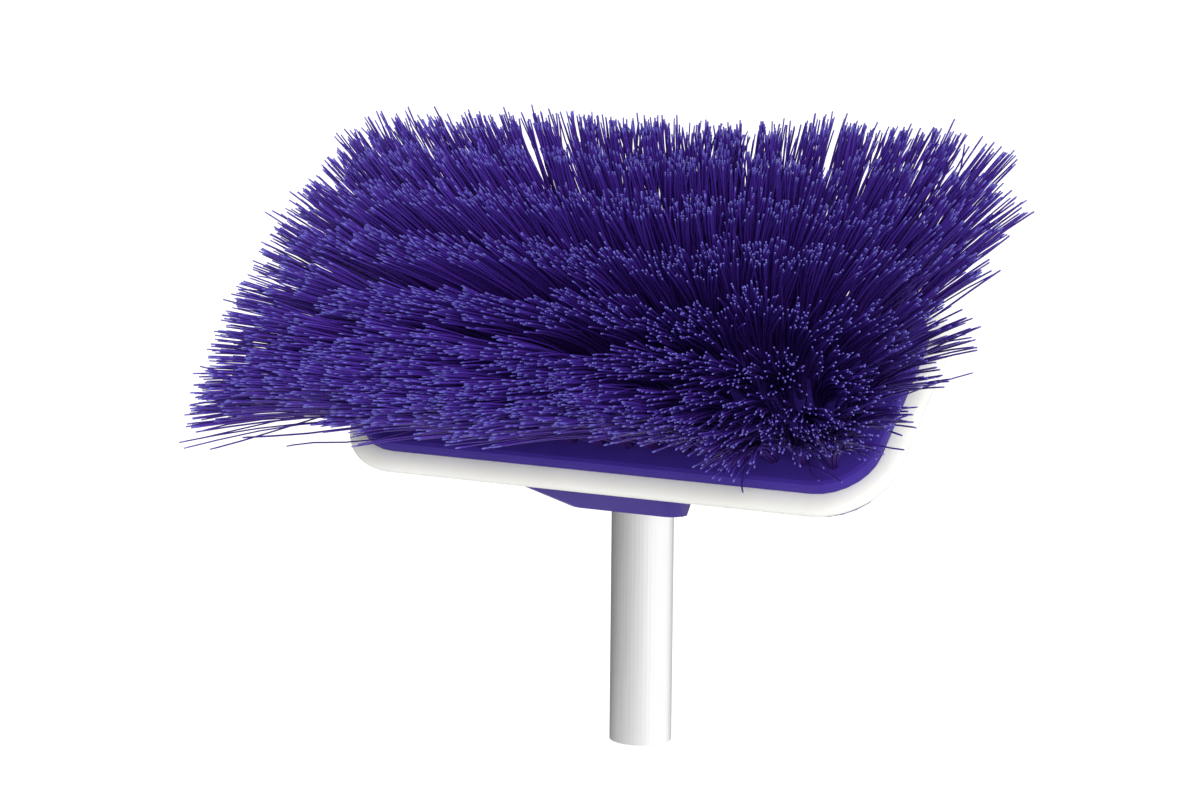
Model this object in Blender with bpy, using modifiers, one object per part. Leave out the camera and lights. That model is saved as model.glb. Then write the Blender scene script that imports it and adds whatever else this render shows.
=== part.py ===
"""Pool wall brush: a tufted block with a soft bumper and an angled socket on a short handle tube.

Part frame, in metres: origin at the centre of the handle tube's lower end, +Z up along the tube,
+X along the brush's long side, -Y towards the front. The block's own frame is tilted back about X.
Its z = 0 is the bumper's middle plane, and its +Z is the way the bristles point.
"""
import math

import bmesh
import bpy
from mathutils import Matrix, Vector

MM = 0.001
GAP = 0.3 * MM                      # space left between pieces that touch
OVERCUT = 1.0 * MM                  # how far a cutter runs past the face it opens
SHARP_ANGLE = math.radians(35.0)
WELD_DISTANCE = 0.01 * MM
BLOCK_TILT = math.radians(40.0)     # between the tube and the block's normal
BLOCK_CENTRE = Vector((0.0, -2.0 * MM, 164.4 * MM))

# Block outline and its layers, in the block's frame
BLOCK_LENGTH = 254.0 * MM
BLOCK_WIDTH = 108.0 * MM
BLOCK_CORNER = 23.0 * MM
CORNER_STEPS = 7
CORNER_SIGNS = ((1, 1), (-1, 1), (-1, -1), (1, -1))
PLATE_TOP = 10.0 * MM
PLATE_EDGE_ROUND = 2.5 * MM
PLATE_EDGE_BULGE = 0.3              # share of the rounding still left at its middle ring
PLATE_RIM_REACH = 1.8 * MM          # how far the plate's rim reaches out over the bumper
GROOVE_HALF = 4.25 * MM             # half the height of the groove that the bumper sits in
GROOVE_DEPTH = 3.5 * MM
PLATE_BOTTOM = -4.5 * MM
FLANGE_THICKNESS = 3.5 * MM
FLANGE_INSET = -4.2 * MM            # below zero: it reaches out under the bumper
FLANGE_CHAMFER = 0.6 * MM

# Bumper
BUMPER_PROUD = 10.0 * MM
BUMPER_ARC_STEPS = 10

# Tufts
ROWS = 8
ROW_PITCH = 12.4 * MM
TUFTS_IN_CLUSTERS = (3, 4, 3, 4, 3)
TUFTS_IN_ROW = sum(TUFTS_IN_CLUSTERS)
TUFT_PITCH = 14.0 * MM
TUFT_HOLE_RADIUS = 2.5 * MM
TUFT_HOLE_DEPTH = 7.0 * MM
TUFT_SIDES = 6
CLUSTER_FILL_ACROSS = 0.74          # share of the row pitch that a cluster fills
CLUSTER_GAP = 3.0 * MM              # at the plate, between clusters of the same row
CLUSTER_LEVELS = 4
CLUSTER_SPANS = 3
CLUSTER_LETTERS = "abcde"           # left to right
PEG_OVERLAP = 1.5 * MM              # how far a root peg runs up into its fan
BRISTLE_LENGTH = 88.0 * MM          # above the plate, the same for every tuft
BRISTLE_BEND = 0.6                  # share of the lean that grows with the square of the height
LEFT_FLARE = 0.80                   # sine of the end tufts' lean in the middle rows, out along the block
RIGHT_FLARE = 0.63
OUTER_ROW_LOSS = 0.24               # share of that flare which the front and back rows lack
FRONT_BACK_LEAN = (-0.35, 0.81, 0.03, -0.16)  # sine of the lean across the rows, as a cubic
FRONT_CORNER_LIFT = 0.50            # how much less the front row's end tufts lean forward
BACK_CORNER_LIFT = 0.18             # how much more the back row's end tufts lean back
FRONT_SWEEP = 0.16                  # extra lean to the left in the middle of the front row
FRONT_RISE = 0.45                   # how much less the middle of the front row leans forward
FRONT_FADE = 3                      # power by which both fade out towards the back

# Handle tube and its socket, in the part frame
TUBE_RADIUS = 14.25 * MM
TUBE_WALL = 1.5 * MM
TUBE_LENGTH = 147.0 * MM
TUBE_EDGE_BREAK = 0.4 * MM
TUBE_STEPS = 48
SOCKET_MOUTH_Z = 109.4 * MM
SOCKET_COLLAR_RADIUS = 17.3 * MM
SOCKET_FRONT_Y = -21.6 * MM
SOCKET_FRONT_HALF = 29.0 * MM
SOCKET_FRONT_ROUND = 8.0 * MM
SOCKET_CUT = 20.0 * MM              # how far the bore's cutter reaches below the mouth
BOSS_STEPS = 24
BOSS_CORNER_STEPS = 4
BOSS_ROOT_LEFT = 68.0 * MM          # the left end slopes, the right end is steep
BOSS_ROOT_RIGHT = 37.0 * MM
BOSS_ROOT_FRONT = -52.5 * MM        # in the block's frame
BOSS_ROOT_BACK = 34.0 * MM
BOSS_ROOT_ROUND = 8.0 * MM
POCKET_CENTRE_X = 24.5 * MM
POCKET_SIZE = Vector((8.0, 40.0, 14.0)) * MM

# Screws
SCREW_SHANK_RADIUS = 1.9 * MM
SCREW_HEAD_RADIUS = 3.8 * MM
SCREW_HEAD_HEIGHT = 2.6 * MM
SCREW_HEAD_PROFILE = ((0.7, -1.0), (1.0, -0.55), (1.0, 0.0))  # shares of its radius and height
SCREW_POINT = 1.5 * MM
SCREW_TIP_RADIUS = 0.8 * MM
RECESS_LENGTH = 4.2 * MM
RECESS_WIDTH = 1.0 * MM
RECESS_DEPTH = 1.2 * MM
SCREW_STEPS = 16
HOUSING_SCREW_END = 1.0 * MM        # tip of a housing screw, in the block's frame
HOUSING_SCREW_PLACES = [(x * MM, y * MM) for x, y in ((-104.0, -36.0), (-104.0, 36.0), (-40.0, 44.0),
                                                      (40.0, 44.0), (104.0, -36.0), (104.0, 36.0))]
HANDLE_SCREW_Z = 121.0 * MM
HANDLE_SCREW_DEPTH = 4.5 * MM       # how far it reaches inside the tube's outer face
HANDLE_SCREW_SEAT = 18.0 * MM       # flat faced into the collar for its head, from the tube's axis

BLUE = (0.045, 0.022, 0.30)
BRISTLE_BLUE = (0.035, 0.022, 0.40)


def clear_scene():
    for obj in list(bpy.data.objects):
        bpy.data.objects.remove(obj)


def make_collection(name, hidden=False):
    collection = bpy.data.collections.new(name)
    bpy.context.scene.collection.children.link(collection)
    collection.hide_render = hidden
    return collection


def make_material(name, colour, roughness, metallic=0.0):
    material = bpy.data.materials.new(name)
    material.use_nodes = True
    shader = material.node_tree.nodes["Principled BSDF"]
    shader.inputs["Base Color"].default_value = (*colour, 1.0)
    shader.inputs["Roughness"].default_value = roughness
    shader.inputs["Metallic"].default_value = metallic
    material.diffuse_color = (*colour, 1.0)
    return material


def add_mesh_object(name, bm, collection, parent=None, material=None):
    """Turn a bmesh into an object, with its faces pointing out and its sharp edges kept."""
    bmesh.ops.recalc_face_normals(bm, faces=bm.faces)
    mesh = bpy.data.meshes.new(name)
    bm.to_mesh(mesh)
    bm.free()
    obj = bpy.data.objects.new(name, mesh)
    collection.objects.link(obj)
    obj.parent = parent
    if material:
        mesh.materials.append(material)
        mesh.shade_smooth()
        mesh.set_sharp_from_angle(angle=SHARP_ANGLE)
    else:
        obj.hide_render = True
        obj.display_type = "WIRE"
    return obj


def add_boolean(obj, cutter, operation="DIFFERENCE"):
    modifier = obj.modifiers.new(f"{operation.lower()}_{cutter.name}", "BOOLEAN")
    modifier.operation = operation
    modifier.object = cutter
    modifier.solver = "EXACT"


def outline(inset, z):
    """Return the block's rounded rectangle, moved in by inset, at height z in the block's frame."""
    radius = BLOCK_CORNER - inset
    centre_x = BLOCK_LENGTH / 2 - BLOCK_CORNER
    centre_y = BLOCK_WIDTH / 2 - BLOCK_CORNER
    points = []
    for turn, (sx, sy) in enumerate(CORNER_SIGNS):
        for step in range(CORNER_STEPS + 1):
            angle = math.radians(90.0) * (turn + step / CORNER_STEPS)
            points.append(Vector((sx * centre_x + radius * math.cos(angle),
                                  sy * centre_y + radius * math.sin(angle), z)))
    return points


def loft(bm, rings, close=False):
    """Skin rings of equal point counts; close joins the last ring to the first, else the ends are capped."""
    loops = [[bm.verts.new(point) for point in ring] for ring in rings]
    pairs = list(zip(loops, loops[1:]))
    if close:
        pairs.append((loops[-1], loops[0]))
    for lower, upper in pairs:
        for i in range(len(lower)):
            j = (i + 1) % len(lower)
            bm.faces.new((lower[i], lower[j], upper[j], upper[i]))
    if not close:
        bm.faces.new(loops[0])
        bm.faces.new(loops[-1])


def add_cylinder(bm, radius, bottom, top, sides, centre=(0.0, 0.0)):
    """Add an upright capped cylinder between two heights."""
    place = Matrix.Translation((centre[0], centre[1], (bottom + top) / 2))
    bmesh.ops.create_cone(bm, cap_ends=True, segments=sides, radius1=radius, radius2=radius,
                          depth=top - bottom, matrix=place)


def tuft_x(tuft):
    return (tuft - (TUFTS_IN_ROW - 1) / 2) * TUFT_PITCH


def row_y(row):
    return (row - (ROWS - 1) / 2) * ROW_PITCH


def tuft_places():
    """Return the centre of every tuft hole, in the block's frame."""
    return [(tuft_x(tuft), row_y(row)) for row in range(ROWS) for tuft in range(TUFTS_IN_ROW)]


def lean(x, y):
    """Return the sines of the lean, along and across the block, of the bristles that root at (x, y)."""
    u = x / tuft_x(TUFTS_IN_ROW - 1)
    v = y / row_y(ROWS - 1)
    front = (1.0 - v) / 2
    middle = front ** FRONT_FADE * (1.0 - u * u)
    flare = LEFT_FLARE if u < 0.0 else RIGHT_FLARE
    along = flare * u * (1.0 - OUTER_ROW_LOSS * v * v) - FRONT_SWEEP * middle * (1.0 - u * u)
    across = sum(factor * v ** power for power, factor in enumerate(FRONT_BACK_LEAN))
    across += u * u * (FRONT_CORNER_LIFT * front + BACK_CORNER_LIFT * (1.0 - front)) + FRONT_RISE * middle
    return along, across


def bristle_point(x, y, height):
    """Return a point of the bristle that roots at (x, y), at a height from 0 to 1 along it."""
    along, across = lean(x, y)
    rise = math.sqrt(1.0 - along * along - across * across)
    reach = BRISTLE_LENGTH * height * (1.0 - BRISTLE_BEND + BRISTLE_BEND * height)
    top = PLATE_TOP + GAP + BRISTLE_LENGTH * rise * height
    return Vector((x + along * reach, y + across * reach, top))


def make_tuft_holes(collection, parent):
    bm = bmesh.new()
    bottom = PLATE_TOP - TUFT_HOLE_DEPTH
    for place in tuft_places():
        add_cylinder(bm, TUFT_HOLE_RADIUS, bottom, PLATE_TOP + OVERCUT, TUFT_SIDES, place)
    return add_mesh_object("tuft_holes", bm, collection, parent)


def make_screw_holes(collection, parent):
    bm = bmesh.new()
    bottom = PLATE_BOTTOM - GAP - FLANGE_THICKNESS - OVERCUT
    for place in HOUSING_SCREW_PLACES:
        add_cylinder(bm, SCREW_SHANK_RADIUS + GAP, bottom, HOUSING_SCREW_END + GAP, SCREW_STEPS, place)
    return add_mesh_object("housing_screw_holes", bm, collection, parent)


def make_tuft_plate(collection, parent, material, cutters):
    """The front moulding: a rounded plate with blind tuft holes, and the bumper's groove below its rim."""
    rim = -PLATE_RIM_REACH
    bulge = PLATE_EDGE_BULGE * PLATE_EDGE_ROUND
    rings = [
        outline(GROOVE_DEPTH, PLATE_BOTTOM),
        outline(GROOVE_DEPTH, GROOVE_HALF + GAP),
        outline(rim, GROOVE_HALF + GAP),
        outline(rim, PLATE_TOP - PLATE_EDGE_ROUND),
        outline(rim + bulge, PLATE_TOP - bulge),
        outline(rim + PLATE_EDGE_ROUND, PLATE_TOP),
    ]
    bm = bmesh.new()
    loft(bm, rings)
    plate = add_mesh_object("tuft_plate", bm, collection, parent, material)
    for cutter in cutters:
        add_boolean(plate, cutter)


def make_bumper(collection, parent, material):
    """The soft ring: a flat tongue in the groove and a half-round outer side."""
    tongue = GROOVE_DEPTH - GAP
    profile = [(tongue, GROOVE_HALF), (tongue, -GROOVE_HALF)]
    for step in range(BUMPER_ARC_STEPS + 1):
        angle = math.pi * (step / BUMPER_ARC_STEPS - 0.5)
        profile.append((-BUMPER_PROUD * math.cos(angle), GROOVE_HALF * math.sin(angle)))
    bm = bmesh.new()
    loft(bm, [outline(inset, z) for inset, z in profile], close=True)
    add_mesh_object("bumper", bm, collection, parent, material)


def make_boss(collection, block_matrix):
    """The socket boss, from its wide root under the block down to a square-cut mouth, in the part frame."""
    points = []
    for step in range(BOSS_STEPS):
        angle = math.radians(360.0) * step / BOSS_STEPS
        points.append(Vector((SOCKET_COLLAR_RADIUS * math.cos(angle),
                              SOCKET_COLLAR_RADIUS * math.sin(angle), SOCKET_MOUTH_Z)))
    for side in (-1, 1):
        for step in range(BOSS_CORNER_STEPS + 1):
            angle = math.radians(90.0) * step / BOSS_CORNER_STEPS
            x = SOCKET_FRONT_HALF - SOCKET_FRONT_ROUND * (1.0 - math.sin(angle))
            y = SOCKET_FRONT_Y + SOCKET_FRONT_ROUND * (1.0 - math.cos(angle))
            points.append(Vector((side * x, y, SOCKET_MOUTH_Z)))
    root_z = PLATE_BOTTOM - GAP - FLANGE_THICKNESS / 2
    for turn, (sx, sy) in enumerate(CORNER_SIGNS):
        half = BOSS_ROOT_RIGHT if sx > 0 else BOSS_ROOT_LEFT
        centre_y = BOSS_ROOT_BACK if sy > 0 else BOSS_ROOT_FRONT
        for step in range(BOSS_CORNER_STEPS + 1):
            angle = math.radians(90.0) * (turn + step / BOSS_CORNER_STEPS)
            x = sx * (half - BOSS_ROOT_ROUND) + BOSS_ROOT_ROUND * math.cos(angle)
            y = centre_y - sy * BOSS_ROOT_ROUND + BOSS_ROOT_ROUND * math.sin(angle)
            points.append(block_matrix @ Vector((x, y, root_z)))
    bm = bmesh.new()
    for point in points:
        bm.verts.new(point)
    bmesh.ops.convex_hull(bm, input=bm.verts)
    return add_mesh_object("socket_boss_form", bm, collection)


def make_socket_bore(collection):
    bm = bmesh.new()
    add_cylinder(bm, TUBE_RADIUS + GAP, SOCKET_MOUTH_Z - SOCKET_CUT, TUBE_LENGTH + GAP, TUBE_STEPS)
    return add_mesh_object("socket_bore", bm, collection)


def make_pockets(collection, parent):
    """Cores that lighten the boss on both sides of the socket, open towards the plate."""
    bm = bmesh.new()
    for side in (-1, 1):
        centre = Vector((side * POCKET_CENTRE_X, 0.0, PLATE_BOTTOM - POCKET_SIZE.z / 2 + OVERCUT))
        place = Matrix.Translation(centre) @ Matrix.Diagonal((*POCKET_SIZE, 1.0))
        bmesh.ops.create_cube(bm, size=1.0, matrix=place)
    return add_mesh_object("boss_pockets", bm, collection, parent)


def make_handle_screw_cutter(name, radius, inner_y, collection):
    """A cylinder along Y behind the tube, from inner_y out past the collar."""
    bm = bmesh.new()
    add_cylinder(bm, radius, inner_y, SOCKET_COLLAR_RADIUS + SOCKET_CUT, SCREW_STEPS)
    turn = Matrix.Translation((0.0, 0.0, HANDLE_SCREW_Z)) @ Matrix.Rotation(math.radians(-90.0), 4, "X")
    bmesh.ops.transform(bm, matrix=turn, verts=bm.verts)
    return add_mesh_object(name, bm, collection)


def make_back_housing(collection, parent, material, boss, cutters):
    """The rear moulding: the groove's lower flange, with the angled socket boss grown from it."""
    top = PLATE_BOTTOM - GAP
    bottom = top - FLANGE_THICKNESS
    rings = [
        outline(FLANGE_INSET + FLANGE_CHAMFER, bottom),
        outline(FLANGE_INSET, bottom + FLANGE_CHAMFER),
        outline(FLANGE_INSET, top),
    ]
    bm = bmesh.new()
    loft(bm, rings)
    housing = add_mesh_object("back_housing", bm, collection, parent, material)
    add_boolean(housing, boss, "UNION")
    for cutter in cutters:
        add_boolean(housing, cutter)


def make_handle_tube(collection, material, screw_hole):
    """The open tube, turned from its wall's section; the profile runs down its outer side."""
    outer = TUBE_RADIUS
    inner = TUBE_RADIUS - TUBE_WALL
    chamfer = TUBE_EDGE_BREAK
    section = [
        (inner, TUBE_LENGTH), (outer - chamfer, TUBE_LENGTH), (outer, TUBE_LENGTH - chamfer),
        (outer, chamfer), (outer - chamfer, 0.0), (inner, 0.0),
    ]
    mesh = bpy.data.meshes.new("handle_tube")
    count = len(section)
    mesh.from_pydata([(x, 0.0, z) for x, z in section], [(i, (i + 1) % count) for i in range(count)], [])
    mesh.materials.append(material)
    tube = bpy.data.objects.new("handle_tube", mesh)
    collection.objects.link(tube)
    screw = tube.modifiers.new("turn", "SCREW")
    screw.steps = TUBE_STEPS
    screw.render_steps = TUBE_STEPS
    screw.use_merge_vertices = True
    screw.merge_threshold = WELD_DISTANCE
    screw.use_smooth_shade = True
    add_boolean(tube, screw_hole)


def make_screw_mesh(length):
    """Return a cross-head screw, head down, its shank rising from z = 0 to length."""
    bm = bmesh.new()
    rings = [(share * SCREW_HEAD_RADIUS, level * SCREW_HEAD_HEIGHT) for share, level in SCREW_HEAD_PROFILE]
    rings.append((SCREW_SHANK_RADIUS, 0.0))
    rings.append((SCREW_SHANK_RADIUS, length - SCREW_POINT))
    rings.append((SCREW_TIP_RADIUS, length))
    angles = [math.radians(360.0) * step / SCREW_STEPS for step in range(SCREW_STEPS)]
    loft(bm, [[Vector((r * math.cos(a), r * math.sin(a), z)) for a in angles] for r, z in rings])
    bmesh.ops.recalc_face_normals(bm, faces=bm.faces)
    mesh = bpy.data.meshes.new("screw")
    bm.to_mesh(mesh)
    bm.free()
    return mesh


def make_screw(name, length, matrix, collection, recess, material, parent=None):
    mesh = make_screw_mesh(length)
    mesh.materials.append(material)
    mesh.shade_smooth()
    mesh.set_sharp_from_angle(angle=SHARP_ANGLE)
    screw = bpy.data.objects.new(name, mesh)
    collection.objects.link(screw)
    screw.parent = parent
    screw.matrix_local = matrix
    cutter = bpy.data.objects.new(f"{name}_recess", recess)
    bpy.data.collections["cutters"].objects.link(cutter)
    cutter.parent = screw
    cutter.hide_render = True
    cutter.display_type = "WIRE"
    add_boolean(screw, cutter)


def make_recess_mesh():
    """Return the cross-shaped drive recess in a screw's head, as one plus-shaped prism."""
    half_long = RECESS_LENGTH / 2
    half_thin = RECESS_WIDTH / 2
    quarter = [(half_long, -half_thin), (half_long, half_thin), (half_thin, half_thin)]
    rings = []
    for z in (-SCREW_HEAD_HEIGHT - OVERCUT, -SCREW_HEAD_HEIGHT + RECESS_DEPTH):
        ring = []
        for turn in range(4):
            spin = Matrix.Rotation(math.radians(90.0) * turn, 3, "Z")
            ring += [spin @ Vector((x, y, z)) for x, y in quarter]
        rings.append(ring)
    bm = bmesh.new()
    loft(bm, rings)
    bmesh.ops.recalc_face_normals(bm, faces=bm.faces)
    mesh = bpy.data.meshes.new("screw_recess")
    bm.to_mesh(mesh)
    bm.free()
    return mesh


def make_cluster(name, row, tufts, collection, parent, material):
    """One bundle of neighbouring tufts: a fan above the plate, on a root peg in each tuft hole."""
    first_x = tuft_x(tufts[0]) - TUFT_PITCH / 2 + CLUSTER_GAP / 2
    last_x = tuft_x(tufts[-1]) + TUFT_PITCH / 2 - CLUSTER_GAP / 2
    middle_y = row_y(row)
    half_y = CLUSTER_FILL_ACROSS * ROW_PITCH / 2
    along = [first_x + (last_x - first_x) * i / CLUSTER_SPANS for i in range(CLUSTER_SPANS + 1)]
    base = [(x, middle_y - half_y) for x in along]
    base += [(x, middle_y + half_y) for x in reversed(along)]
    levels = [level / CLUSTER_LEVELS for level in range(CLUSTER_LEVELS + 1)]
    bm = bmesh.new()
    loft(bm, [[bristle_point(x, y, level) for x, y in base] for level in levels])
    cluster = add_mesh_object(name, bm, collection, parent, material)
    pegs = bmesh.new()
    peg_radius = TUFT_HOLE_RADIUS - GAP / math.cos(math.pi / TUFT_SIDES)
    peg_bottom = PLATE_TOP - TUFT_HOLE_DEPTH + GAP
    peg_top = PLATE_TOP + PEG_OVERLAP
    for tuft in tufts:
        add_cylinder(pegs, peg_radius, peg_bottom, peg_top, TUFT_SIDES, (tuft_x(tuft), middle_y))
    pegs_form = add_mesh_object(f"{name}_pegs", pegs, bpy.data.collections["cutters"], parent)
    add_boolean(cluster, pegs_form, "UNION")


def make_bristles(collection, parent, material):
    for row in range(ROWS):
        start = 0
        for letter, size in zip(CLUSTER_LETTERS, TUFTS_IN_CLUSTERS):
            tufts = list(range(start, start + size))
            make_cluster(f"bristles_row_{row + 1}_{letter}", row, tufts, collection, parent, material)
            start += size


def make_screws(collection, block, material):
    recess = make_recess_mesh()
    under_flange = PLATE_BOTTOM - GAP - FLANGE_THICKNESS - GAP
    length = HOUSING_SCREW_END - under_flange
    for number, (x, y) in enumerate(HOUSING_SCREW_PLACES, start=1):
        place = Matrix.Translation((x, y, under_flange))
        make_screw(f"housing_screw_{number}", length, place, collection, recess, material, block)
    head_y = HANDLE_SCREW_SEAT + GAP
    length = head_y - (TUBE_RADIUS - HANDLE_SCREW_DEPTH)
    place = Matrix.Translation((0.0, head_y, HANDLE_SCREW_Z)) @ Matrix.Rotation(math.radians(90.0), 4, "X")
    make_screw("handle_screw", length, place, collection, recess, material)


def main():
    clear_scene()
    brush = make_collection("pool_wall_brush")
    cutters = make_collection("cutters", hidden=True)
    block = bpy.data.objects.new("block_frame", None)
    brush.objects.link(block)
    block_matrix = Matrix.Translation(BLOCK_CENTRE) @ Matrix.Rotation(BLOCK_TILT, 4, "X")
    block.matrix_world = block_matrix

    blue = make_material("blue_plastic", BLUE, 0.4)
    bristle = make_material("bristle_blue", BRISTLE_BLUE, 0.5)
    vinyl = make_material("white_vinyl", (0.80, 0.80, 0.72), 0.45)
    aluminium = make_material("satin_aluminium", (0.82, 0.82, 0.83), 0.35, 1.0)
    steel = make_material("stainless_steel", (0.6, 0.6, 0.62), 0.3, 1.0)

    screw_holes = make_screw_holes(cutters, block)
    hole_end = TUBE_RADIUS - HANDLE_SCREW_DEPTH - OVERCUT
    hole_radius = SCREW_SHANK_RADIUS + GAP
    handle_screw_hole = make_handle_screw_cutter("handle_screw_hole", hole_radius, hole_end, cutters)
    screw_seat = make_handle_screw_cutter("handle_screw_seat", SCREW_HEAD_RADIUS + 2 * GAP,
                                          HANDLE_SCREW_SEAT, cutters)
    make_tuft_plate(brush, block, blue, [make_tuft_holes(cutters, block), screw_holes])
    make_bumper(brush, block, vinyl)
    boss = make_boss(cutters, block_matrix)
    housing_cutters = [make_socket_bore(cutters), make_pockets(cutters, block), screw_holes,
                       handle_screw_hole, screw_seat]
    make_back_housing(brush, block, blue, boss, housing_cutters)
    make_handle_tube(brush, aluminium, handle_screw_hole)
    make_bristles(brush, block, bristle)
    make_screws(brush, block, steel)


main()
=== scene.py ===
"""Looks of the pool wall brush: real filaments for its tufts, a smoother bumper, finished materials.

The CAD's bristle bundles are replaced by filaments that follow the same rule of lean, rooted in the same
holes. The bumper is replaced by a finer ring. The other pieces are the CAD's own, with new materials.
"""
import math

import bpy
import numpy as np
from mathutils import Matrix, Vector


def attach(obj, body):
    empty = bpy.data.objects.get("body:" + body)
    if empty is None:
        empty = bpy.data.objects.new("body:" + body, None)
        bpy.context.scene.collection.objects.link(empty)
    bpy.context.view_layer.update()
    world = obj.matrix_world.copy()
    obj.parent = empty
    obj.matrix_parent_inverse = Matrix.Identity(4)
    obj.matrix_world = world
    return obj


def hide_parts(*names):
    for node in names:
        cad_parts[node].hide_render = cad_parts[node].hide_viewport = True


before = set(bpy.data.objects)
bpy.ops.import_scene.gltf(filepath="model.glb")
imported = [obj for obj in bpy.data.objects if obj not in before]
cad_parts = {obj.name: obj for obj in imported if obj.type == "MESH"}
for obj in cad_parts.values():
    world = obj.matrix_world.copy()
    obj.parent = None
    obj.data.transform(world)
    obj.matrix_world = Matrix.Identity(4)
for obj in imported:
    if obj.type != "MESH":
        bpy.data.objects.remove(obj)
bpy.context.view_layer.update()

MM = 0.001
SEED = 20

# The block's frame and layers, as the CAD model has them
BLOCK_TILT = math.radians(40.0)
BLOCK_CENTRE = Vector((0.0, -2.0 * MM, 164.4 * MM))
BLOCK = Matrix.Translation(BLOCK_CENTRE) @ Matrix.Rotation(BLOCK_TILT, 4, "X")
BLOCK_LENGTH = 254.0 * MM
BLOCK_WIDTH = 108.0 * MM
BLOCK_CORNER = 23.0 * MM
PLATE_TOP = 10.0 * MM
GROOVE_HALF = 4.25 * MM
TONGUE = 3.2 * MM                   # how far the bumper reaches into the groove
BUMPER_PROUD = 10.0 * MM
BUMPER_ARC_STEPS = 20
BUMPER_FULLNESS = 0.85              # below one: a little fuller than a half ellipse
BUMPER_CORNER_STEPS = 24

# Tufts, and the rule of their lean; a lean is a sine, u and v run from -1 to 1 along and across the block
ROWS = 8
ROW_PITCH = 12.4 * MM
TUFTS_IN_CLUSTERS = (3, 4, 3, 4, 3)
TUFTS_IN_ROW = sum(TUFTS_IN_CLUSTERS)
TUFT_PITCH = 14.0 * MM
BRISTLE_LENGTH = 88.0 * MM
BRISTLE_BEND = 0.6                  # share of the lean that grows with the square of the height
LEFT_FLARE = 0.80                   # lean of the end tufts, out along the block
RIGHT_FLARE = 0.63
FRONT_RIGHT_LOSS = 0.05             # share of the right flare that the front row lacks
RIGHT_LATE = 0.35                   # share of the right flare that grows with the cube of u
OUTER_ROW_LOSS = 0.24               # share of the flare that the front and back rows lack
FRONT_BACK_LEAN = (-0.35, 0.81, 0.03, -0.16)  # lean across the rows, as a cubic in v
FRONT_CORNER_LIFT = 0.50            # how much less the front row's end tufts lean forward
BACK_CORNER_LIFT = 0.18             # how much more the back row's end tufts lean back
FRONT_SWEEP = 0.50                  # more than the CAD's, whose solid bundles may not cross
FRONT_RISE = 0.46                   # how much less the middle of the front row leans forward
FRONT_RISE_SKEW = 0.55              # share by which the front row's left side rises more than its middle
FRONT_FADE = 3                      # power by which sweep and rise fade out towards the back

# Filaments
FILAMENTS_IN_TUFT = 60
FILAMENT_RADIUS = 0.42 * MM
FILAMENT_SIDES = 5
FILAMENT_GIRTHS = (0.85, 1.12)      # smallest and largest share of that radius
SIDE_GUIDE = (0.31, 0.95, 0.05)     # direction from which the sides of a filament are turned
LEVELS = np.array([-0.06, 0.03, 0.18, 0.36, 0.54, 0.72, 0.88, 0.975, 1.0])  # shares of the length
TAPER_LEVELS = (0.0, 0.2, 0.95, 1.0)
TAPER = (0.7, 1.0, 0.95, 0.85)
ROOT_SPREAD = 1.9 * MM
TUFT_WANDER = 0.028                 # scatter of the tufts' lean
TIP_SPREAD = (0.126, 0.062)         # lean by which outer filaments leave the tuft's middle, along and across
TIP_SPREAD_INNER = 0.15             # share of that spread at the tuft's middle
TIP_SPREAD_POWER = 0.8
TIP_SCATTER = 0.018
LENGTH_SCATTER = 0.015
LONGER_SHARE = 0.03                 # of the filaments, by the factors below
LONGER_FACTORS = (1.02, 1.07)
WAVE = 0.9 * MM
WAVES = 1.1                         # in a filament's length
BENT_SHARE = 0.08                   # of the filaments, which wave more
BENT_FACTOR = 3.0
LOWEST_RISE = 0.02                  # square of the sine by which a filament at least rises
TINT = (0.45, 0.25)                 # mean and scatter
END_RAGGEDNESS = 0.8                # how much more the left end's tufts scatter
END_FADE = 6                        # power by which that fades out towards the middle
BACK_FILL = 0.35                    # how much wider along the row the back row's tufts spread

# Hairs that have strayed: (row, tuft) -> lean along, lean across, length
STRAYS = {
    (0, 0): [(-0.97, 0.02, 96.0 * MM), (-0.95, -0.22, 74.0 * MM)],
    (0, 1): [(-0.93, -0.34, 78.0 * MM)],
    (0, 2): [(-0.90, -0.41, 70.0 * MM)],
    (1, 0): [(-0.96, 0.10, 92.0 * MM)],
    (0, 13): [(0.36, -0.90, 29.0 * MM)],
    (0, 15): [(0.80, -0.50, 36.0 * MM), (0.62, -0.70, 27.0 * MM)],
    (1, 16): [(0.93, -0.22, 36.0 * MM), (0.90, 0.20, 34.0 * MM)],
    (2, 16): [(0.90, 0.22, 62.0 * MM), (0.95, 0.05, 34.0 * MM)],
    (4, 16): [(0.93, 0.20, 40.0 * MM)],
}

# Camera, at the photograph's viewing angle
CAMERA_AZIMUTH = math.radians(27.76)
CAMERA_ELEVATION = math.radians(8.93)
CAMERA_ROLL = math.radians(0.54)
CAMERA_PLACE = Vector((0.6485, -1.2750, 0.3819))
CAMERA_LENS = 96.0
SENSOR_WIDTH = 36.0

# Stage
WORLD_STRENGTH = 0.62
FLOOR_Z = -0.45
FLOOR_SIZE = 120.0
SURROUND_RADIUS = 1.3
SURROUND_HEIGHTS = (-1.0, 2.5)
SURROUND_STEPS = 180
SURROUND_TURNS = (-180.0, -60.0, 0.0, 35.0, 106.0, 150.0, 180.0)  # degrees from the camera, + to the right
SURROUND_GLOW = (0.02, 0.36, 0.74, 1.10, 1.12, 0.40, 0.12)
# Soft lights: strength, spread in degrees, direction they shine from
OVERHEAD_SOFTBOX = (1.5, 60.0, (0.15, -0.25, 1.0))
FRONT_SOFTBOX = (3.3, 45.0, (0.60, -0.85, 0.14))


def link(obj):
    bpy.context.scene.collection.objects.link(obj)
    return obj


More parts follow.
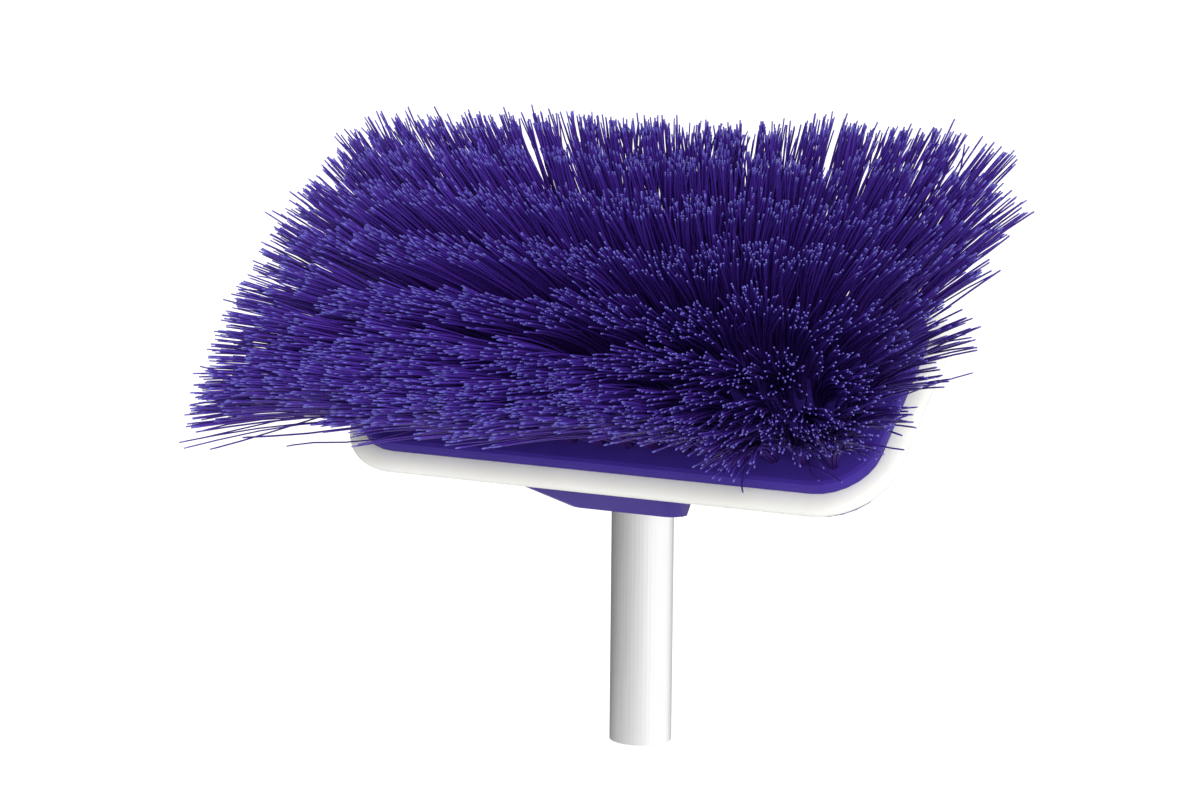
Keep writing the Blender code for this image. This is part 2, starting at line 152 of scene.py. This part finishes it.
def nodes_of(material):
    material.use_nodes = True
    tree = material.node_tree
    return tree, tree.nodes["Principled BSDF"]


def add_node(tree, kind, **values):
    node = tree.nodes.new(kind)
    for name, value in values.items():
        if hasattr(node, name):
            setattr(node, name, value)
        else:
            node.inputs[name.replace("_", " ")].default_value = value
    return node


def ramp(tree, source, stops):
    node = tree.nodes.new("ShaderNodeValToRGB")
    ends = node.color_ramp.elements
    while len(ends) < len(stops):
        ends.new(0.5)
    for end, (place, colour) in zip(ends, stops):
        end.position = place
        end.color = (*colour, 1.0)
    tree.links.new(source, node.inputs["Fac"])
    return node


def noise(tree, scale, detail=3.0, roughness=0.5):
    coords = tree.nodes.new("ShaderNodeTexCoord")
    node = add_node(tree, "ShaderNodeTexNoise", Scale=scale, Detail=detail, Roughness=roughness)
    tree.links.new(coords.outputs["Object"], node.inputs["Vector"])
    return node


def set_bump(tree, shader, source, strength, distance):
    bump = add_node(tree, "ShaderNodeBump", Strength=strength, Distance=distance)
    tree.links.new(source, bump.inputs["Height"])
    tree.links.new(bump.outputs["Normal"], shader.inputs["Normal"])


def moulded_blue():
    material = bpy.data.materials.new("moulded_blue")
    tree, shader = nodes_of(material)
    cloud = noise(tree, 38.0, 4.0)
    colour = ramp(tree, cloud.outputs["Fac"], [(0.3, (0.044, 0.021, 0.235)), (0.7, (0.056, 0.028, 0.285))])
    tree.links.new(colour.outputs["Color"], shader.inputs["Base Color"])
    shader.inputs["Specular IOR Level"].default_value = 0.12
    grain = noise(tree, 900.0, 2.0)
    gloss = ramp(tree, grain.outputs["Fac"], [(0.2, (0.30,) * 3), (0.8, (0.46,) * 3)])
    tree.links.new(gloss.outputs["Color"], shader.inputs["Roughness"])
    set_bump(tree, shader, grain.outputs["Fac"], 0.12, 0.0003)
    return material


def soft_vinyl():
    material = bpy.data.materials.new("soft_vinyl")
    tree, shader = nodes_of(material)
    cloud = noise(tree, 22.0, 5.0)
    colour = ramp(tree, cloud.outputs["Fac"], [(0.3, (0.86, 0.85, 0.79)), (0.7, (0.90, 0.895, 0.85))])
    tree.links.new(colour.outputs["Color"], shader.inputs["Base Color"])
    grain = noise(tree, 500.0, 3.0)
    gloss = ramp(tree, grain.outputs["Fac"], [(0.2, (0.36,) * 3), (0.8, (0.52,) * 3)])
    tree.links.new(gloss.outputs["Color"], shader.inputs["Roughness"])
    shader.inputs["Subsurface Weight"].default_value = 0.5
    shader.inputs["Subsurface Scale"].default_value = 0.006
    shader.inputs["Subsurface Radius"].default_value = (1.0, 0.9, 0.7)
    set_bump(tree, shader, grain.outputs["Fac"], 0.08, 0.0004)
    return material


def satin_aluminium():
    material = bpy.data.materials.new("satin_tube")
    tree, shader = nodes_of(material)
    shader.inputs["Metallic"].default_value = 1.0
    coords = tree.nodes.new("ShaderNodeTexCoord")
    stretch = tree.nodes.new("ShaderNodeMapping")
    stretch.inputs["Scale"].default_value = (1.0, 1.0, 0.02)
    tree.links.new(coords.outputs["Object"], stretch.inputs["Vector"])
    lines = add_node(tree, "ShaderNodeTexNoise", Scale=1400.0, Detail=3.0)
    tree.links.new(stretch.outputs["Vector"], lines.inputs["Vector"])
    colour = ramp(tree, lines.outputs["Fac"], [(0.3, (0.86, 0.86, 0.855)), (0.7, (0.90, 0.90, 0.90))])
    tree.links.new(colour.outputs["Color"], shader.inputs["Base Color"])
    gloss = ramp(tree, lines.outputs["Fac"], [(0.2, (0.32,) * 3), (0.8, (0.38,) * 3)])
    tree.links.new(gloss.outputs["Color"], shader.inputs["Roughness"])
    set_bump(tree, shader, lines.outputs["Fac"], 0.015, 0.0001)
    return material


def stainless():
    material = bpy.data.materials.new("stainless_screw")
    tree, shader = nodes_of(material)
    shader.inputs["Metallic"].default_value = 1.0
    grain = noise(tree, 800.0, 3.0)
    colour = ramp(tree, grain.outputs["Fac"], [(0.3, (0.50, 0.50, 0.51)), (0.7, (0.64, 0.64, 0.66))])
    tree.links.new(colour.outputs["Color"], shader.inputs["Base Color"])
    gloss = ramp(tree, grain.outputs["Fac"], [(0.2, (0.22,) * 3), (0.8, (0.40,) * 3)])
    tree.links.new(gloss.outputs["Color"], shader.inputs["Roughness"])
    set_bump(tree, shader, grain.outputs["Fac"], 0.1, 0.0002)
    return material


def filament_blue():
    """Blue filament: painted shade makes it darkest at the root and brighter outwards, with a painted
    highlight as a pale tip; each differs a little in tone.
    """
    material = bpy.data.materials.new("filament_blue")
    tree, shader = nodes_of(material)
    along = add_node(tree, "ShaderNodeAttribute", attribute_name="along")
    tint = add_node(tree, "ShaderNodeAttribute", attribute_name="tint")
    # Both ramps paint light into the colour: painted shade darkens the filament towards the root, and the
    # pale last stop is a painted highlight on the tip. The two ramps differ only in tone, mixed by each
    # filament's tint.
    stops_dark = [(0.0, (0.036, 0.011, 0.125)), (0.35, (0.040, 0.011, 0.175)),
                  (0.80, (0.040, 0.012, 0.200)), (0.978, (0.044, 0.015, 0.220)),
                  (0.99, (0.085, 0.060, 0.350))]
    stops_light = [(0.0, (0.050, 0.015, 0.170)), (0.35, (0.060, 0.018, 0.240)),
                   (0.80, (0.064, 0.021, 0.275)), (0.978, (0.068, 0.027, 0.310)),
                   (0.99, (0.150, 0.145, 0.540))]
    dark = ramp(tree, along.outputs["Fac"], stops_dark)
    light = ramp(tree, along.outputs["Fac"], stops_light)
    mix = tree.nodes.new("ShaderNodeMix")
    mix.data_type = "RGBA"
    tree.links.new(tint.outputs["Fac"], mix.inputs["Factor"])
    tree.links.new(dark.outputs["Color"], mix.inputs["A"])
    tree.links.new(light.outputs["Color"], mix.inputs["B"])
    tree.links.new(mix.outputs["Result"], shader.inputs["Base Color"])
    shader.inputs["Specular IOR Level"].default_value = 0.3
    gloss = ramp(tree, tint.outputs["Fac"], [(0.0, (0.38,) * 3), (1.0, (0.55,) * 3)])
    tree.links.new(gloss.outputs["Color"], shader.inputs["Roughness"])
    grain = noise(tree, 1500.0, 2.0)
    set_bump(tree, shader, grain.outputs["Fac"], 0.1, 0.0001)
    return material


def tuft_x(tuft):
    return (tuft - (TUFTS_IN_ROW - 1) / 2) * TUFT_PITCH


def row_y(row):
    return (row - (ROWS - 1) / 2) * ROW_PITCH


def lean(x, y):
    """Return the sines of the lean, along and across the block, of the tuft that roots at (x, y)."""
    u = x / tuft_x(TUFTS_IN_ROW - 1)
    v = y / row_y(ROWS - 1)
    front = (1.0 - v) / 2
    middle = front ** FRONT_FADE * (1.0 - u * u)
    flare = LEFT_FLARE
    if u > 0.0:
        flare = RIGHT_FLARE * (1.0 + FRONT_RIGHT_LOSS * min(v, 0.0)) * (1.0 - RIGHT_LATE * (1.0 - u * u))
    along = flare * u * (1.0 - OUTER_ROW_LOSS * v * v) - FRONT_SWEEP * middle * (1.0 - u * u)
    across = sum(factor * v ** power for power, factor in enumerate(FRONT_BACK_LEAN))
    across += u * u * (FRONT_CORNER_LIFT * front + BACK_CORNER_LIFT * (1.0 - front))
    across += FRONT_RISE * middle * (1.0 - FRONT_RISE_SKEW * u)
    return along, across


def tuft_paths(rng, x, y, strays):
    """Return the centre lines of one tuft's filaments in the block's frame, with their radii and tints."""
    count = FILAMENTS_IN_TUFT
    angle = rng.uniform(0.0, 2.0 * math.pi, count)
    reach = np.sqrt(rng.uniform(0.0, 1.0, count))
    root_x = x + ROOT_SPREAD * reach * np.cos(angle)
    root_y = y + ROOT_SPREAD * reach * np.sin(angle)
    ragged = 1.0 + END_RAGGEDNESS * max(x / tuft_x(0), 0.0) ** END_FADE
    fill = 1.0 + BACK_FILL * max(y / row_y(ROWS - 1), 0.0)
    along, across = np.array(lean(x, y)) + rng.normal(0.0, TUFT_WANDER, 2)
    ring = TIP_SPREAD_INNER + (1.0 - TIP_SPREAD_INNER) * reach ** TIP_SPREAD_POWER
    scatter = TIP_SCATTER * ragged
    lean_x = along + TIP_SPREAD[0] * fill * ring * np.cos(angle) + rng.normal(0.0, scatter, count)
    lean_y = across + TIP_SPREAD[1] * ring * np.sin(angle) + rng.normal(0.0, scatter, count)
    length = BRISTLE_LENGTH * (1.0 + rng.normal(0.0, LENGTH_SCATTER * ragged, count))
    longer = rng.uniform(0.0, 1.0, count) < LONGER_SHARE
    length *= np.where(longer, rng.uniform(*LONGER_FACTORS, count), 1.0)
    for place, (stray_along, stray_across, stray_length) in enumerate(strays):
        lean_x[place] = stray_along
        lean_y[place] = stray_across
        length[place] = stray_length
    rise = np.sqrt(np.clip(1.0 - lean_x ** 2 - lean_y ** 2, LOWEST_RISE, 1.0))
    wave = rng.normal(0.0, WAVE, (count, 2))
    bent = rng.uniform(0.0, 1.0, count) < BENT_SHARE
    wave[bent] *= BENT_FACTOR
    phase = rng.uniform(0.0, math.pi, count)
    above = np.clip(LEVELS, 0.0, None)[None, :]
    bend = above * (1.0 - BRISTLE_BEND + BRISTLE_BEND * above)
    sway = (np.sin(2.0 * WAVES * math.pi * above + phase[:, None]) - np.sin(phase[:, None])) * above
    px = root_x[:, None] + (length * lean_x)[:, None] * bend + wave[:, :1] * sway
    py = root_y[:, None] + (length * lean_y)[:, None] * bend + wave[:, 1:] * sway
    pz = PLATE_TOP + (length * rise)[:, None] * LEVELS[None, :]
    radius = FILAMENT_RADIUS * rng.uniform(*FILAMENT_GIRTHS, count)
    tint = np.clip(rng.normal(*TINT, count), 0.0, 1.0)
    return np.stack([px, py, pz], -1), radius, tint


def sweep(paths, radii):
    """Skin round tubes along the paths; returns vertices (filament, level, side, xyz)."""
    tangent = np.gradient(paths, axis=1)
    tangent /= np.linalg.norm(tangent, axis=-1, keepdims=True)
    side = np.cross(tangent, np.array(SIDE_GUIDE))
    side /= np.linalg.norm(side, axis=-1, keepdims=True)
    other = np.cross(tangent, side)
    turn = np.arange(FILAMENT_SIDES) * 2.0 * math.pi / FILAMENT_SIDES
    taper = np.interp(LEVELS, TAPER_LEVELS, TAPER)
    size = radii[:, None, None, None] * taper[None, :, None, None]
    ring = np.cos(turn)[:, None] * side[:, :, None, :] + np.sin(turn)[:, None] * other[:, :, None, :]
    return paths[:, :, None, :] + size * ring


def filament_mesh(name, paths, radii, tints, material):
    """Make one mesh of closed filaments, with their length and tint kept as attributes."""
    points = sweep(paths, radii)
    count, levels, sides, _ = points.shape
    flat = points.reshape(-1, 3) @ np.array(BLOCK.to_3x3()).T + np.array(BLOCK_CENTRE)
    index = np.arange(count * levels * sides).reshape(count, levels, sides)
    ahead = np.roll(index, -1, axis=2)
    quads = np.stack([index[:, :-1], ahead[:, :-1], ahead[:, 1:], index[:, 1:]], -1).reshape(-1, 4)
    faces = quads.tolist() + index[:, 0, ::-1].tolist() + index[:, -1].tolist()
    mesh = bpy.data.meshes.new(name)
    mesh.from_pydata(flat.tolist(), [], faces)
    along = np.broadcast_to(np.clip(LEVELS, 0.0, 1.0)[None, :, None], (count, levels, sides))
    tint = np.broadcast_to(tints[:, None, None], (count, levels, sides))
    for title, values in (("along", along), ("tint", tint)):
        layer = mesh.attributes.new(title, "FLOAT", "POINT")
        layer.data.foreach_set("value", np.ascontiguousarray(values, dtype=np.float32).ravel())
    mesh.materials.append(material)
    mesh.shade_smooth()
    mesh.set_sharp_from_angle(angle=math.radians(75.0))
    return link(bpy.data.objects.new(name, mesh))


def make_tufts(material):
    rng = np.random.default_rng(SEED)
    for row in range(ROWS):
        start = 0
        for letter, size in zip("abcde", TUFTS_IN_CLUSTERS):
            parts = [tuft_paths(rng, tuft_x(tuft), row_y(row), STRAYS.get((row, tuft), []))
                     for tuft in range(start, start + size)]
            paths, radii, tints = (np.concatenate(values) for values in zip(*parts))
            piece = filament_mesh(f"tufts_row_{row + 1}_{letter}", paths, radii, tints, material)
            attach(piece, "root")
            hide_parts(f"bristles_row_{row + 1}_{letter}")
            start += size


def outline(inset, z):
    """Return the block's rounded rectangle, moved in by inset, at height z in the block's frame."""
    radius = BLOCK_CORNER - inset
    centre_x = BLOCK_LENGTH / 2 - BLOCK_CORNER
    centre_y = BLOCK_WIDTH / 2 - BLOCK_CORNER
    points = []
    for turn, (sx, sy) in enumerate(((1, 1), (-1, 1), (-1, -1), (1, -1))):
        for step in range(BUMPER_CORNER_STEPS + 1):
            angle = math.radians(90.0) * (turn + step / BUMPER_CORNER_STEPS)
            points.append(Vector((sx * centre_x + radius * math.cos(angle),
                                  sy * centre_y + radius * math.sin(angle), z)))
    return points


def make_bumper(material):
    """The soft ring, half round outside, with its tongue in the block's groove."""
    profile = [(TONGUE, GROOVE_HALF), (TONGUE, -GROOVE_HALF)]
    for step in range(BUMPER_ARC_STEPS + 1):
        angle = math.pi * (step / BUMPER_ARC_STEPS - 0.5)
        profile.append((-BUMPER_PROUD * math.cos(angle) ** BUMPER_FULLNESS, GROOVE_HALF * math.sin(angle)))
    rings = [outline(inset, z) for inset, z in profile]
    points = [BLOCK @ point for ring in rings for point in ring]
    around = len(rings[0])
    faces = []
    for i in range(len(rings)):
        for j in range(around):
            k = (j + 1) % around
            n = (i + 1) % len(rings)
            faces.append((i * around + j, i * around + k, n * around + k, n * around + j))
    mesh = bpy.data.meshes.new("bumper_ring")
    mesh.from_pydata(points, [], faces)
    mesh.materials.append(material)
    mesh.shade_smooth()
    mesh.set_sharp_from_angle(angle=math.radians(50.0))
    piece = link(bpy.data.objects.new("bumper_ring", mesh))
    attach(piece, "root")
    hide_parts("bumper")


def dress(node, material):
    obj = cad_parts[node]
    obj.data.materials.clear()
    obj.data.materials.append(material)


def make_camera():
    back = Vector((math.sin(CAMERA_AZIMUTH) * math.cos(CAMERA_ELEVATION),
                   -math.cos(CAMERA_AZIMUTH) * math.cos(CAMERA_ELEVATION), math.sin(CAMERA_ELEVATION)))
    level = Vector((math.cos(CAMERA_AZIMUTH), math.sin(CAMERA_AZIMUTH), 0.0))
    right = level * math.cos(CAMERA_ROLL) + back.cross(level) * math.sin(CAMERA_ROLL)
    up = back.cross(right)
    camera = link(bpy.data.objects.new("camera", bpy.data.cameras.new("camera")))
    camera.data.lens = CAMERA_LENS
    camera.data.sensor_width = SENSOR_WIDTH
    camera.matrix_world = Matrix.Translation(CAMERA_PLACE) @ Matrix((right, up, back)).transposed().to_4x4()
    bpy.context.scene.camera = camera


def make_surround():
    """A glowing cylinder round the brush that only shows in reflections: dark left, bright right."""
    back = Vector((math.sin(CAMERA_AZIMUTH), -math.cos(CAMERA_AZIMUTH), 0.0))
    right = Vector((math.cos(CAMERA_AZIMUTH), math.sin(CAMERA_AZIMUTH), 0.0))
    points = []
    glow = []
    for z in SURROUND_HEIGHTS:
        for step in range(SURROUND_STEPS):
            turn = 360.0 * step / SURROUND_STEPS - 180.0
            angle = math.radians(turn)
            place = SURROUND_RADIUS * (back * math.cos(angle) + right * math.sin(angle))
            points.append((place.x, place.y, z))
            glow.append(float(np.interp(turn, SURROUND_TURNS, SURROUND_GLOW)))
    faces = []
    for i in range(SURROUND_STEPS):
        j = (i + 1) % SURROUND_STEPS
        faces.append((i, j, j + SURROUND_STEPS, i + SURROUND_STEPS))
    mesh = bpy.data.meshes.new("surround")
    mesh.from_pydata(points, [], faces)
    layer = mesh.attributes.new("glow", "FLOAT", "POINT")
    layer.data.foreach_set("value", glow)
    material = bpy.data.materials.new("surround_glow")
    tree, shader = nodes_of(material)
    strength = add_node(tree, "ShaderNodeAttribute", attribute_name="glow")
    shader.inputs["Base Color"].default_value = (0.0, 0.0, 0.0, 1.0)
    shader.inputs["Emission Color"].default_value = (1.0, 1.0, 1.0, 1.0)
    tree.links.new(strength.outputs["Fac"], shader.inputs["Emission Strength"])
    material.cycles.emission_sampling = "NONE"
    mesh.materials.append(material)
    surround = link(bpy.data.objects.new("surround", mesh))
    surround.visible_camera = False
    surround.visible_diffuse = False
    surround.visible_shadow = False
    surround.visible_transmission = False


def make_sun(name, energy, spread, towards):
    """A broad soft light that shines from the given direction."""
    sun = bpy.data.lights.new(name, "SUN")
    sun.energy = energy
    sun.angle = math.radians(spread)
    lamp = link(bpy.data.objects.new(name, sun))
    lamp.rotation_euler = (-Vector(towards)).to_track_quat("-Z", "Y").to_euler()
    lamp.visible_glossy = False


def make_stage():
    world = bpy.data.worlds.new("studio")
    bpy.context.scene.world = world
    world.use_nodes = True
    world.node_tree.nodes["Background"].inputs["Color"].default_value = (1.0, 1.0, 1.0, 1.0)
    world.node_tree.nodes["Background"].inputs["Strength"].default_value = WORLD_STRENGTH
    bpy.ops.mesh.primitive_plane_add(size=FLOOR_SIZE, location=(0.0, 0.0, FLOOR_Z))
    floor = bpy.context.object
    floor.name = "floor"
    material = bpy.data.materials.new("pale_floor")
    tree, shader = nodes_of(material)
    shader.inputs["Base Color"].default_value = (0.97, 0.97, 0.97, 1.0)
    shader.inputs["Roughness"].default_value = 1.0
    shader.inputs["Specular IOR Level"].default_value = 0.0
    floor.data.materials.append(material)
    floor.visible_diffuse = False
    make_sun("overhead_softbox", *OVERHEAD_SOFTBOX)
    make_sun("front_softbox", *FRONT_SOFTBOX)
    bpy.context.scene.view_settings.view_transform = "Standard"


make_camera()
make_stage()
make_surround()
blue = moulded_blue()
dress("tuft_plate", blue)
dress("back_housing", blue)
dress("handle_tube", satin_aluminium())
steel = stainless()
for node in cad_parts:
    if "screw" in node:
        dress(node, steel)
make_bumper(soft_vinyl())
make_tufts(filament_blue())
